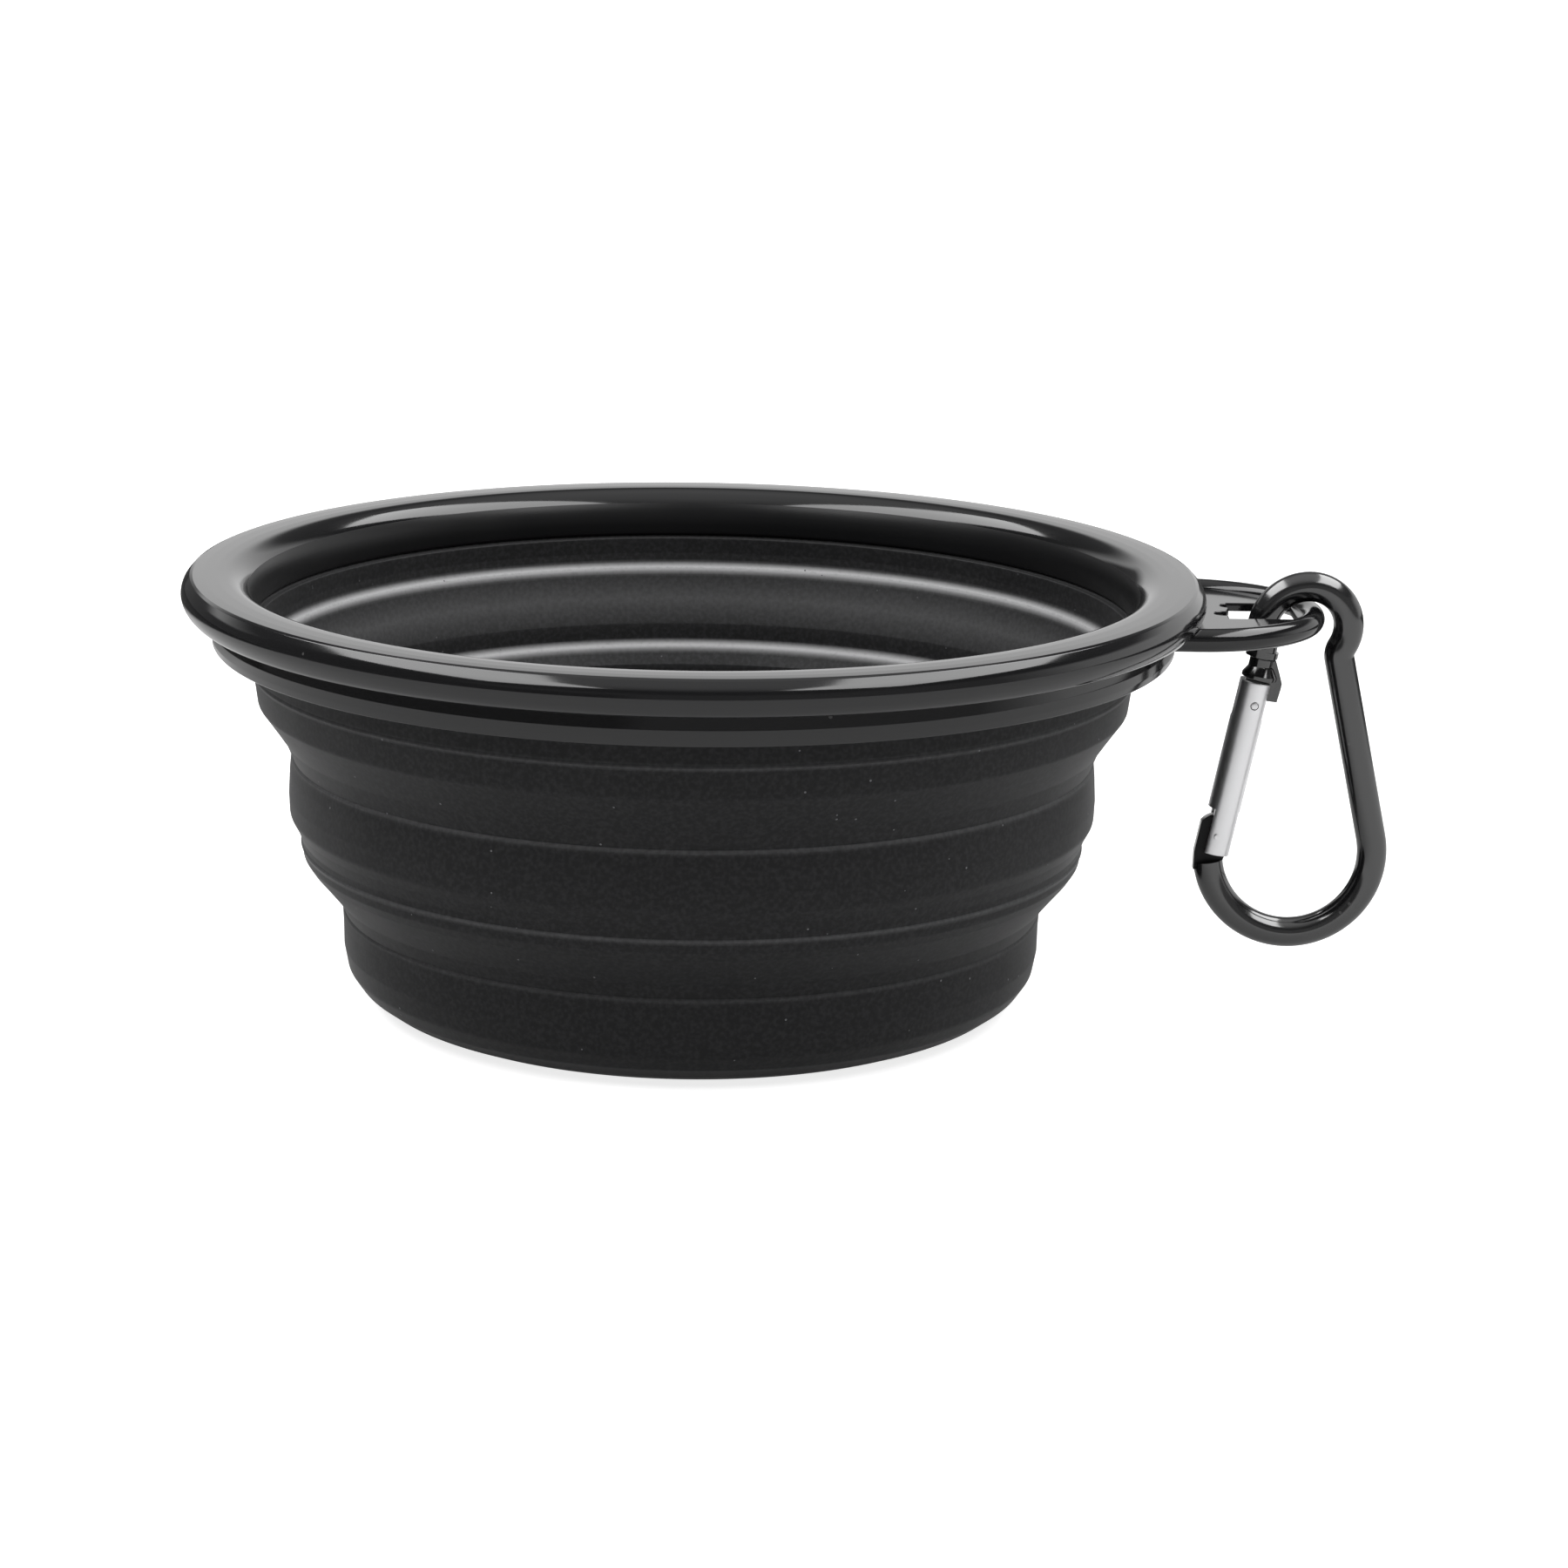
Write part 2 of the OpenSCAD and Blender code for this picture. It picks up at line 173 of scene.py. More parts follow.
def stepped(points, longest, closed=True):
    """The same outline, with no stretch longer than the given length."""
    out = []
    count = len(points)
    for i in range(count if closed else count - 1):
        a = Vector(points[i])
        b = Vector(points[(i + 1) % count])
        # Rounded up, but a stretch that is only a hair too long stays whole
        parts = max(1, int((b - a).length / longest + 0.999))
        out += [tuple(a.lerp(b, k / parts)) for k in range(parts)]
    if not closed:
        out.append(tuple(points[-1]))
    return out


def ring_outline(corners, longest=0.8):
    """The closed outline of a ring, eased at its corners and cut into short stretches."""
    return stepped(rounded(corners), longest)


def arc(centre, r, start, end, steps):
    """Points of an arc, in degrees."""
    turns = [radians(start + (end - start) * k / steps) for k in range(steps + 1)]
    return [(centre[0] + r * cos(t), centre[1] + r * sin(t)) for t in turns]


# Meshes

def shaded(mesh, sharp=34):
    """Smooth shading, broken at edges sharper than the given angle."""
    mesh.shade_smooth()
    mesh.set_sharp_from_angle(angle=radians(sharp))


def piece(name, bm, sharp=34):
    """A new object from a mesh being built, in metres."""
    bmesh.ops.recalc_face_normals(bm, faces=bm.faces)
    mesh = bpy.data.meshes.new(name)
    bm.to_mesh(mesh)
    bm.free()
    shaded(mesh, sharp)
    obj = bpy.data.objects.new(name, mesh)
    scene.collection.objects.link(obj)
    return obj


def circle(count):
    """Points round a circle of radius one."""
    return [(cos(2 * pi * k / count), sin(2 * pi * k / count)) for k in range(count)]


def lathe_into(bm, outline, turns=TURNS, closed=True, place=None):
    """Turn an outline of (radius, height) in millimetres round the upright axis."""
    rings = []
    for r, z in outline:
        if r < 1e-6:
            rings.append([bm.verts.new((0, 0, z * MM))])
        else:
            rings.append([bm.verts.new((r * MM * x, r * MM * y, z * MM)) for x, y in circle(turns)])
    pairs = list(zip(rings, rings[1:]))
    if closed:
        pairs.append((rings[-1], rings[0]))
    for low, high in pairs:
        for k in range(turns):
            n = (k + 1) % turns
            corners = [low[k % len(low)], low[n % len(low)], high[n % len(high)], high[k % len(high)]]
            face = list(dict.fromkeys(corners))
            if len(face) > 2:
                bm.faces.new(face)
    if place is not None:
        bmesh.ops.transform(bm, matrix=place, verts=[v for ring in rings for v in ring])


def lathe(name, outline):
    """A turned piece of the bowl, whose outline is closed from its last point to its first."""
    bm = bmesh.new()
    lathe_into(bm, outline)
    return piece(name, bm)


def paint_fold_highlight(obj, outer, inner=()):
    """Store a painted highlight along the creases, from marks of (radius, height, reach, amount)."""
    layer = obj.data.attributes.new("fold_highlight_paint", "FLOAT", "POINT")
    values = []
    for v in obj.data.vertices:
        r = sqrt(v.co.x ** 2 + v.co.y ** 2) / MM
        z = v.co.z / MM
        best = 0.0
        outward = v.normal.x * v.co.x + v.normal.y * v.co.y
        for mark_r, mark_z, reach, amount in (outer if outward > 0 else inner):
            gap = sqrt((r - mark_r) ** 2 + (z - mark_z) ** 2) / reach
            best = max(best, amount * max(0.0, 1 - gap) ** 1.5)
        values.append(best)
    layer.data.foreach_set("value", values)


def rod_into(bm, path, radius, sides=40, up=(0, 1, 0)):
    """A round rod along a flat path of (x, y, z) points in millimetres."""
    across = Vector(up)
    pts = [Vector(p) * MM for p in path]
    rings = []
    for i, p in enumerate(pts):
        along = (pts[min(i + 1, len(pts) - 1)] - pts[max(i - 1, 0)]).normalized()
        side = across.cross(along).normalized()
        rings.append([bm.verts.new(p + (side * x + across * y) * radius * MM) for x, y in circle(sides)])
    for a, b in zip(rings, rings[1:]):
        for k in range(sides):
            n = (k + 1) % sides
            bm.faces.new((a[k], a[n], b[n], b[k]))
    bm.faces.new(rings[0])
    bm.faces.new(rings[-1])


def plate_mesh(outlines, thick, edge):
    """A flat plate with holes and softened edges, lying in XY about z 0, in millimetres."""
    curve = bpy.data.curves.new("plate_outline", "CURVE")
    curve.dimensions = "2D"
    curve.fill_mode = "BOTH"
    curve.extrude = (thick / 2 - edge) * MM
    curve.bevel_depth = edge * MM
    curve.bevel_resolution = 3
    curve.offset = -edge * MM
    for outline in outlines:
        spline = curve.splines.new("POLY")
        spline.points.add(len(outline) - 1)
        for point, (x, y) in zip(spline.points, outline):
            point.co = (x * MM, y * MM, 0, 1)
        spline.use_cyclic_u = True
    holder = bpy.data.objects.new("plate_outline", curve)
    scene.collection.objects.link(holder)
    depsgraph = bpy.context.evaluated_depsgraph_get()
    mesh = bpy.data.meshes.new_from_object(holder.evaluated_get(depsgraph))
    bpy.data.objects.remove(holder)
    bpy.data.curves.remove(curve)
    return mesh


def add_mesh(bm, mesh, matrix):
    """Move a finished mesh to its place and add it to the one being built."""
    before = set(bm.verts)
    bm.from_mesh(mesh)
    new = [v for v in bm.verts if v not in before]
    bmesh.ops.transform(bm, matrix=matrix, verts=new)
    bpy.data.meshes.remove(mesh)


def cut(obj, cutters):
    """Cut other objects out of one, and remove them."""
    for cutter in cutters:
        step = obj.modifiers.new("cut", "BOOLEAN")
        step.operation = "DIFFERENCE"
        step.solver = "EXACT"
        step.object = cutter
    depsgraph = bpy.context.evaluated_depsgraph_get()
    mesh = bpy.data.meshes.new_from_object(obj.evaluated_get(depsgraph))
    obj.modifiers.clear()
    obj.data = mesh
    for cutter in cutters:
        bpy.data.objects.remove(cutter)


def block(name, low, high, matrix):
    """A cutting block between two corners, in millimetres, in the frame that the matrix gives."""
    bm = bmesh.new()
    bmesh.ops.create_cube(bm, size=1)
    low = Vector(low)
    high = Vector(high)
    size = Matrix.Diagonal((high - low) * MM).to_4x4()
    bmesh.ops.transform(bm, matrix=matrix @ Matrix.Translation((low + high) / 2 * MM) @ size, verts=bm.verts)
    return piece(name, bm)


# Rim, with the tab in one moulding

# A radius this large only eases the bend between two short sides of the lip
SOFT = 9.0
RIM_OUTLINE = [
    (RIM_BORE_R, SEAM, 0.3), (RIM_BORE_R, 51.8, SOFT), (56.35, 53.4, SOFT), (57.2, 54.9, SOFT),
    (58.7, 55.85, SOFT), (60.6, 55.95, SOFT), (62.3, 55.95, SOFT), (63.65, 55.9, 0.1),
    (64.05, 55.74, 0.3), (64.85, 54.82, SOFT), (65.12, 54.1, SOFT), (65.2, 53.4, SOFT),
    (64.98, 52.6, SOFT), (64.5, 51.85, SOFT), (64.0, 51.4, SOFT), (63.5, 51.25, 0.3),
    (63.0, LIP_FOOT, 0), (FLANGE_R, LIP_FOOT, 0), (FLANGE_R, SEAM, 0)]


def slot_outline():
    """The bone-shaped slot: a box with two round lobes on its inner side."""
    points = []
    for x, y, edge in LOBES:
        reach = degrees(acos((edge - x) / LOBE_R))
        points += arc((x, y), LOBE_R, 360 - reach, reach, 16)
    near_back, far_back = SLOT_BACK
    points += rounded([
        (far_back, SLOT_HALF, 0), (SLOT_END, SLOT_HALF, SLOT_CORNER),
        (SLOT_END, -SLOT_HALF, SLOT_CORNER), (near_back, -SLOT_HALF, 0)], closed=False)
    return points


def make_rim():
    """The lip, and the tab's round bead and sunk plate."""
    bm = bmesh.new()
    lathe_into(bm, ring_outline(RIM_OUTLINE))
    bead = [(x, -TAB_R, BEAD_Z) for x in BEAD_ROOT]
    bead += [(x, y, BEAD_Z) for x, y in arc((TAB_X, 0), TAB_R, -90, 90, 72)]
    bead += [(x, TAB_R, BEAD_Z) for x in reversed(BEAD_ROOT)]
    rod_into(bm, bead, BEAD_R, sides=32, up=(0, 0, 1))
    outline = arc((TAB_X, 0), PLATE_R, -90, 90, 72)
    outline += arc((0, 0), PLATE_ROOT_R, PLATE_ROOT_TURN, -PLATE_ROOT_TURN, 24)
    plate = plate_mesh([outline, slot_outline()], PLATE_T, PLATE_EDGE)
    add_mesh(bm, plate, Matrix.Translation((0, 0, (PLATE_TOP - PLATE_T / 2) * MM)))
    return piece("rim_with_tab", bm)


def make_clamp():
    """The skirt under the lip, which holds the cup's flange."""
    return lathe("clamp_skirt", ring_outline([
        (FLANGE_R, LIP_FOOT - CLOSE, 0), (60.8, LIP_FOOT - CLOSE, 0), (61.05, 50.6, 1.0),
        (61.35, 49.3, 1.0), (SKIRT_R, 48.2, 1.0), (61.3, SKIRT_FOOT, 0.25),
        (COLLAR_R + CLOSE, SKIRT_FOOT, 0.1), (COLLAR_R + CLOSE, CLAMP_FOOT, 0),
        (FLANGE_R, CLAMP_FOOT, 0)]))


# Soft cup

SOFT_STEP = 0.3


def make_collar():
    """The cup's flange and the wall down to the first fold."""
    ring = lathe("silicone_collar_ring", ring_outline([
        (55.45, 49.45, 0.2), (56.15, 49.45, 0), (56.5, FLANGE_TOP, 0), (FLANGE_R - CLOSE, FLANGE_TOP, 0),
        (FLANGE_R - CLOSE, FLANGE_FOOT, 0), (COLLAR_R, FLANGE_FOOT, 0), (COLLAR_R, FOLD, 0),
        (54.6, FOLD, 0), (54.75, 45.35, 0.3), (55.25, 46.0, 0.6), (55.42, 47.3, 0.6)], SOFT_STEP))
    # Painted highlight on the inner shoulder below the rim
    paint_fold_highlight(ring, [], [(54.75, 45.35, 1.2, 1.5)])
    return ring


def make_upper_web():
    """The upper web between the collar and the middle band, in its resting shape."""
    web = lathe("upper_fold_web", ring_outline([
        (COLLAR_R, FOLD, 0), (COLLAR_R, 43.9, 0.2), (56.38, 43.55, 0.2), (56.2, 43.1, 0.3),
        (56.0, 41.8, 0.8), (55.7, 39.6, 1.0), (54.75, 38.3, 1.2), (53.9, 37.1, 1.2),
        (52.4, 34.9, 1.5), (51.4, BAND_TOP, 0), (49.9, BAND_TOP, 0), (51.2, 34.6, 0.4),
        (51.7, 35.15, 0.4), (52.3, 35.6, 0.4), (52.4, 37.8, 0.8), (54.6, FOLD, 0)], SOFT_STEP))
    # Painted highlights on the outer crease, on the inner shoulders and, faintly, on the inner slope between
    # them
    paint_fold_highlight(web, [(56.35, 43.6, 0.6, 0.2)],
          [(51.55, 34.85, 1.2, 1.25), (54.6, FOLD, 0.8, 0.85), (53.4, 41.2, 5.0, 0.16)])
    return web


def make_band():
    """The middle band."""
    ring = lathe("middle_band_ring", ring_outline([
        (51.4, BAND_TOP, 0), (51.58, 32.2, 0.15), (51.75, 30.4, 1.5), (51.9, 27.4, 3.0),
        (51.8, 24.95, 1.5), (51.0, 23.5, 0.8), (50.4, 22.0, 0.8), (50.3, LEDGE, 0),
        (49.2, LEDGE, 0), (49.6, 23.4, 1.5), (49.9, BAND_TOP, 0)], SOFT_STEP))
    # Painted highlights on the band's top crease outside and, faintly, inside
    paint_fold_highlight(ring, [(51.5, 32.3, 0.6, 0.25)], [(50.2, 33.4, 2.0, 0.1)])
    return ring


def make_lower_web():
    """The lower web between the middle band and the base, in its resting shape."""
    web = lathe("lower_fold_web", ring_outline([
        (50.3, LEDGE, 0), (50.45, 20.9, 0.15), (50.25, 20.4, 0.3), (50.1, 19.5, 0.8),
        (49.3, 18.3, 1.0), (47.6, 16.3, 1.5), (45.9, 14.25, 1.2), (45.0, BASE_TOP, 0),
        (43.4, BASE_TOP, 0), (45.2, 14.5, 0.4), (45.75, 15.1, 0.4), (45.9, 16.6, 0.6),
        (49.2, LEDGE, 0)], SOFT_STEP))
    # Painted highlights on the outer crease and on the inner shoulder
    paint_fold_highlight(web, [(50.4, 20.95, 0.6, 0.2)], [(45.5, 14.8, 1.0, 0.6)])
    return web


def make_base():
    """The foot of the bowl, with its flat floor."""
    outline = rounded([
        (45.0, BASE_TOP, 0), (45.15, 12.0, 0.15), (45.05, 10.4, 1.0), (45.0, 7.3, 1.5),
        (44.5, 4.6, 1.5), (43.2, 2.7, 1.5), (41.0, 1.1, 1.5), (38.6, 0.12, 0.8), (37.6, 0.0, 0.5),
        (0, 0, 0), (0, FLOOR_TOP, 0), (38.5, FLOOR_TOP, 2.0), (41.2, 3.4, 1.5), (42.5, 5.0, 1.5),
        (43.1, 7.4, 1.5), (43.4, BASE_TOP, 0)], closed=False)
    cup = lathe("base_cup_shell", stepped(outline, 0.5, closed=False))
    # Painted highlight on the crease at the top of the base
    paint_fold_highlight(cup, [(45.1, 12.1, 0.6, 0.15)])
    return cup


# Carabiner

# The kink is an arc that touches both the hook's arc and the straight spine
KINK_REACH = HOOK_R + KINK_R
HOOK_TO_SPINE = LOOP_R - (HOOK[0] - LOOP[0]) * cos(SPINE_LEAN) - (HOOK[1] - LOOP[1]) * sin(SPINE_LEAN)
KINK_ACROSS = HOOK_TO_SPINE + KINK_R
KINK_TURN = SPINE_LEAN - atan2(sqrt(KINK_REACH ** 2 - KINK_ACROSS ** 2), KINK_ACROSS)
KINK = (HOOK[0] + KINK_REACH * cos(KINK_TURN), HOOK[1] + KINK_REACH * sin(KINK_TURN))


def at_pivot():
    """Place of the gate's own frame: across its width is X, and up along the gate is Z."""
    turn = Matrix.Rotation(GATE_LEAN, 4, "Y")
    return Matrix.Translation(Vector((PIVOT_X, 0, PIVOT_Z)) * MM) @ turn


def beside_pivot(across, up=0):
    """A place in the gate's own frame, in millimetres."""
    return at_pivot() @ Matrix.Translation(Vector((across, 0, up)) * MM)


def blade_place():
    """Stands a flat plate up in the carabiner's plane, in the gate's own frame."""
    return at_pivot() @ Matrix.Rotation(pi / 2, 4, "X")


def rod_path():
    """The rod's middle line, from the nose round the hook, the kink, the spine and the loop."""
    path = [(PIVOT_X + sin(GATE_LEAN) * up, PIVOT_Z + cos(GATE_LEAN) * up) for up in (24.1, 24.7, 25.3)]
    path += [(HOOK[0] - HOOK_R - HOOK_DROP + 0.06, HOOK[1] - HOOK_DROP - 1.2)]
    path += arc((HOOK[0], HOOK[1] - HOOK_DROP), HOOK_R + HOOK_DROP, 180, 90, 32)
    path += arc(HOOK, HOOK_R, 90, degrees(KINK_TURN), 40)[1:]
    path += arc(KINK, KINK_R, 180 + degrees(KINK_TURN), 180 + degrees(SPINE_LEAN), 16)[1:]
    path += arc(LOOP, LOOP_R, 360 + degrees(SPINE_LEAN), LOOP_END, 64)
    return [(x, 0, z) for x, z in path]


def claw_outline():
    """The claw under the nose, with the round seat of the latch pin."""
    points = rounded([
        (-1.2, 21.45, 0), (0.5, 23.4, 0), (2.0, 24.1, 0.2), (2.9, 22.4, 0.4), (3.5, 21.2, 0.4),
        (3.5, 20.5, 0.4), (3.4, 18.7, 0.3)], closed=False)
    points += [(1.2, 18.55)]
    points += arc((PIN_IN, PIN_UP), CLAW_SEAT_R, 60, 300, 16)
    points += rounded([
        (1.2, 17.25, 0), (1.2, 16.5, 0.2), (-1.2, 16.5, 0.3), (-1.2, 21.45, 0)], closed=False)[:-1]
    return points


def tongue_outline():
    """The hinge tongue that the gate's lower fork straddles."""
    return arc((0, 0), 2.75, 50.5, 150, 20) + rounded([
        (-2.4, 1.375, 0), (-2.4, -2.75, 0.6), (-2.0, -5.15, 0), (1.2, -5.15, 0),
        (1.75, -1.375, 0), (1.75, 2.1, 0)], closed=False)


def make_frame():
    """The bent rod, with its nose, collar, claw and tongue."""
    bm = bmesh.new()
    rod_into(bm, rod_path(), ROD_R)
    neck = [(0, 21.4), (1.55, 21.4), (1.55, 23.9), (1.7, 24.05), (ROD_R, 24.2), (ROD_R, 25.0), (0, 25.0)]
    lathe_into(bm, neck, 48, closed=False, place=beside_pivot(NECK_SHIFT))
    collar_shape = rounded([
        (0, NOSE_FOOT, 0), (2.3, NOSE_FOOT, 0.08), (2.3, NOSE_FOOT + 0.5, 0.15), (1.55, 23.0, 0.3),
        (0, 23.0, 0)], closed=False)
    lathe_into(bm, collar_shape, 48, closed=False, place=beside_pivot(PIN_IN))
    add_mesh(bm, plate_mesh([claw_outline()], BLADE_T, BLADE_EDGE), blade_place())
    hole = arc((0, 0), TONGUE_HOLE_R, 0, 345, 23)
    add_mesh(bm, plate_mesh([tongue_outline(), hole], BLADE_T, BLADE_EDGE), blade_place())
    return piece("carabiner_rod", bm, sharp=30)


def make_gate():
    """The tubular gate, forked at both ends, with a hole for the latch pin."""
    bm = bmesh.new()
    tube = stepped(rounded([
        (0, GATE_FOOT, 0), (GATE_R, GATE_FOOT, 0.2), (GATE_R, GATE_TOP, 0.2), (0, GATE_TOP, 0)],
        closed=False), 0.6, closed=False)
    lathe_into(bm, tube, 96, closed=False, place=beside_pivot(GATE_SHIFT))
    gate = piece("gate_tube", bm)
    cut(gate, [
        block("top_fork", (-4, -FORK_HALF, FORK_FOOT), (4, FORK_HALF, 23), at_pivot()),
        block("low_fork", (-4, -FORK_HALF, -5), (4, FORK_HALF, HEEL_TOP), at_pivot()),
        block("heel", (-6, -4, -5), (HEEL_BACK, 4, HEEL_TOP), at_pivot()),
        make_pin("pin_hole", PIN_HOLE_R, 4.0, beside_pivot(PIN_IN, PIN_UP), 0.04)])
    shaded(gate.data, 30)
    return gate


def make_pin(name, r, half, place, dome):
    """A cross pin with slightly domed ends."""
    bm = bmesh.new()
    outline = [(0, -half), (r * 0.55, -half + dome * 0.3), (r * 0.9, -half + dome), (r, -half + dome * 2),
               (r, half - dome * 2), (r * 0.9, half - dome), (r * 0.55, half - dome * 0.3), (0, half)]
    lathe_into(bm, outline, 32, closed=False, place=place @ Matrix.Rotation(pi / 2, 4, "X"))
    return piece(name, bm, sharp=60)


rim = make_rim()
clamp = make_clamp()
collar = make_collar()
upper_web = make_upper_web()
band = make_band()
lower_web = make_lower_web()
base = make_base()
rod = make_frame()
gate = make_gate()
rivet = make_pin("hinge_rivet", RIVET_R, 2.1, at_pivot(), 0.05)
pin = make_pin("latch_cross_pin", PIN_R, 2.08, beside_pivot(PIN_IN, PIN_UP), 0.04)


# Materials

class Nodes:
    """Adds nodes to one tree and links them."""

    def __init__(self, tree):
        self.tree = tree

    def add(self, kind, **settings):
        node = self.tree.nodes.new(kind)
        for key, value in settings.items():
            setattr(node, key, value)
        return node

    def link(self, source, target):
        self.tree.links.new(source, target)

    def placed(self, group, values):
        """A shader node group with this material's own values."""
        node = self.add("ShaderNodeGroup", node_tree=group)
        for key, value in values.items():
            node.inputs[key].default_value = value
        return node

    def span(self, value, low, high, out_low, out_high):
        """One range of values turned into another."""
        node = self.add("ShaderNodeMapRange")
        for i, number in enumerate((low, high, out_low, out_high)):
            node.inputs[i + 1].default_value = number
        self.link(value, node.inputs[0])
        return node.outputs[0]

    def maths(self, action, a, b):
        node = self.add("ShaderNodeMath", operation=action)
        for i, item in enumerate((a, b)):
            if isinstance(item, (int, float)):
                node.inputs[i].default_value = item
            else:
                self.link(item, node.inputs[i])
        return node.outputs[0]

    def mixed(self, mask, first, second):
        """Two colours, the second where the mask is one."""
        node = self.add("ShaderNodeMix", data_type="RGBA")
        self.link(mask, node.inputs[0])
        for i, item in ((6, first), (7, second)):
            if isinstance(item, tuple):
                node.inputs[i].default_value = item + (1,)
            else:
                self.link(item, node.inputs[i])
        return node.outputs[2]


def add_sockets(group, inputs, outputs):
    """Give a shader node group its number inputs, with their usual values, and its outputs."""
    for name, value in inputs.items():
        socket = group.interface.new_socket(name, in_out="INPUT", socket_type="NodeSocketFloat")
        socket.default_value = value
    for name in outputs:
        group.interface.new_socket(name, in_out="OUTPUT", socket_type="NodeSocketFloat")


# A speck reaches this far from the middle of its cell
SPECK_REACH = 0.18


def surface_detail_group():
    """Fine grain, soft cloudiness and dust specks, from the object's own place."""
    group = bpy.data.node_groups.new("surface_detail", "ShaderNodeTree")
    add_sockets(group, {"Grain Scale": 2500.0, "Cloud Scale": 60.0, "Speck Scale": 900.0,
                        "Speck Amount": 0.02}, ("Grain", "Cloud", "Speck"))
    n = Nodes(group)
    given = n.add("NodeGroupInput")
    out = n.add("NodeGroupOutput")
    place = n.add("ShaderNodeTexCoord").outputs["Object"]
    for source, target, detail in (("Grain Scale", "Grain", 4.0), ("Cloud Scale", "Cloud", 3.0)):
        node = n.add("ShaderNodeTexNoise")
        node.inputs["Detail"].default_value = detail
        n.link(place, node.inputs["Vector"])
        n.link(given.outputs[source], node.inputs["Scale"])
        n.link(node.outputs["Fac"], out.inputs[target])
    cells = n.add("ShaderNodeTexVoronoi")
    n.link(place, cells.inputs["Vector"])
    n.link(given.outputs["Speck Scale"], cells.inputs["Scale"])
    near = n.maths("LESS_THAN", cells.outputs["Distance"], SPECK_REACH)
    chance = n.add("ShaderNodeSeparateColor")
    n.link(cells.outputs["Color"], chance.inputs[0])
    chosen = n.maths("LESS_THAN", chance.outputs[0], given.outputs["Speck Amount"])
    n.link(n.maths("MULTIPLY", near, chosen), out.inputs["Speck"])
    return group


def edge_wear_group():
    """Rubbed edges, from the bend of the surface and a patchy noise."""
    group = bpy.data.node_groups.new("edge_wear", "ShaderNodeTree")
    add_sockets(group, {"Start": 0.52, "Full": 0.6, "Patch Scale": 300.0}, ("Wear",))
    n = Nodes(group)
    given = n.add("NodeGroupInput")
    out = n.add("NodeGroupOutput")
    bend = n.add("ShaderNodeNewGeometry").outputs["Pointiness"]
    place = n.add("ShaderNodeTexCoord").outputs["Object"]
    edge = n.add("ShaderNodeMapRange")
    n.link(bend, edge.inputs[0])
    n.link(given.outputs["Start"], edge.inputs[1])
    n.link(given.outputs["Full"], edge.inputs[2])
    patch = n.add("ShaderNodeTexNoise")
    n.link(place, patch.inputs["Vector"])
    n.link(given.outputs["Patch Scale"], patch.inputs["Scale"])
    patchy = n.span(patch.outputs["Fac"], 0.4, 0.65, 0.0, 1.0)
    n.link(n.maths("MULTIPLY", edge.outputs[0], patchy), out.inputs["Wear"])
    return group


SURFACE_DETAIL = surface_detail_group()
EDGE_WEAR = edge_wear_group()
GRAIN_DEPTH = 0.00002


def finish_material(name, dark, light, speck, worn_and_highlit, rough, bump, metallic=0.0, grain=2500.0,
                    speck_amount=0.02, speck_scale=900.0, folds=False, mottle=0.0, sockets=None):
    """One finish: two close colours mixed by soft clouds, specks, rubbed edges, roughness and bump.

    On the soft cup a painted highlight along the fold lines takes the place of rubbed edges, and grain
    mottles the colour.
    """
    mat = bpy.data.materials.new(name)
    mat.use_nodes = True
    mat.node_tree.nodes.clear()
    n = Nodes(mat.node_tree)
    out = n.add("ShaderNodeOutputMaterial")
    shader = n.add("ShaderNodeBsdfPrincipled")
    n.link(shader.outputs[0], out.inputs[0])
    detail = n.placed(SURFACE_DETAIL, {
        "Grain Scale": grain, "Cloud Scale": 60.0, "Speck Scale": speck_scale,
        "Speck Amount": speck_amount})
    cloud = detail.outputs["Cloud"]
    # On the soft cup the mask is a painted highlight along the folds, in place of rubbed edges
    if folds:
        crease = n.add("ShaderNodeAttribute", attribute_name="fold_highlight_paint")
        uneven = n.span(detail.outputs["Grain"], 0.3, 0.7, 0.7, 1.0)
        mask = n.maths("MULTIPLY", crease.outputs["Fac"], uneven)
    else:
        mask = n.placed(EDGE_WEAR, {"Start": 0.52, "Full": 0.6}).outputs["Wear"]
    colour = n.mixed(mask, n.mixed(cloud, dark, light), worn_and_highlit)
    if mottle:
        colour = n.mixed(n.span(detail.outputs["Grain"], 0.42, 0.66, 0.0, mottle), colour, speck)
    colour = n.mixed(detail.outputs["Speck"], colour, speck)
    n.link(colour, shader.inputs["Base Color"])
    n.link(n.span(cloud, 0.3, 0.7, *rough), shader.inputs["Roughness"])
    lift = n.add("ShaderNodeBump")
    lift.inputs["Strength"].default_value = bump
    lift.inputs["Distance"].default_value = GRAIN_DEPTH
    n.link(detail.outputs["Grain"], lift.inputs["Height"])
    n.link(lift.outputs[0], shader.inputs["Normal"])
    shader.inputs["Metallic"].default_value = metallic
    for key, value in (sockets or {}).items():
        shader.inputs[key].default_value = value
    return mat


gloss_plastic = finish_material(
    "gloss_black_plastic", (0.0035, 0.0035, 0.004), (0.0045, 0.0045, 0.005), (0.05, 0.05, 0.05),
    (0.008, 0.008, 0.009), (0.08, 0.12), bump=0.03, speck_amount=0.003, speck_scale=700.0,
    sockets={"IOR": 1.55})
satin_plastic = finish_material(
    "satin_black_plastic", (0.004, 0.004, 0.0045), (0.0055, 0.0055, 0.006), (0.05, 0.05, 0.05),
    (0.008, 0.008, 0.009), (0.32, 0.4), bump=0.03, speck_amount=0.003, speck_scale=700.0,
    sockets={"IOR": 1.38})
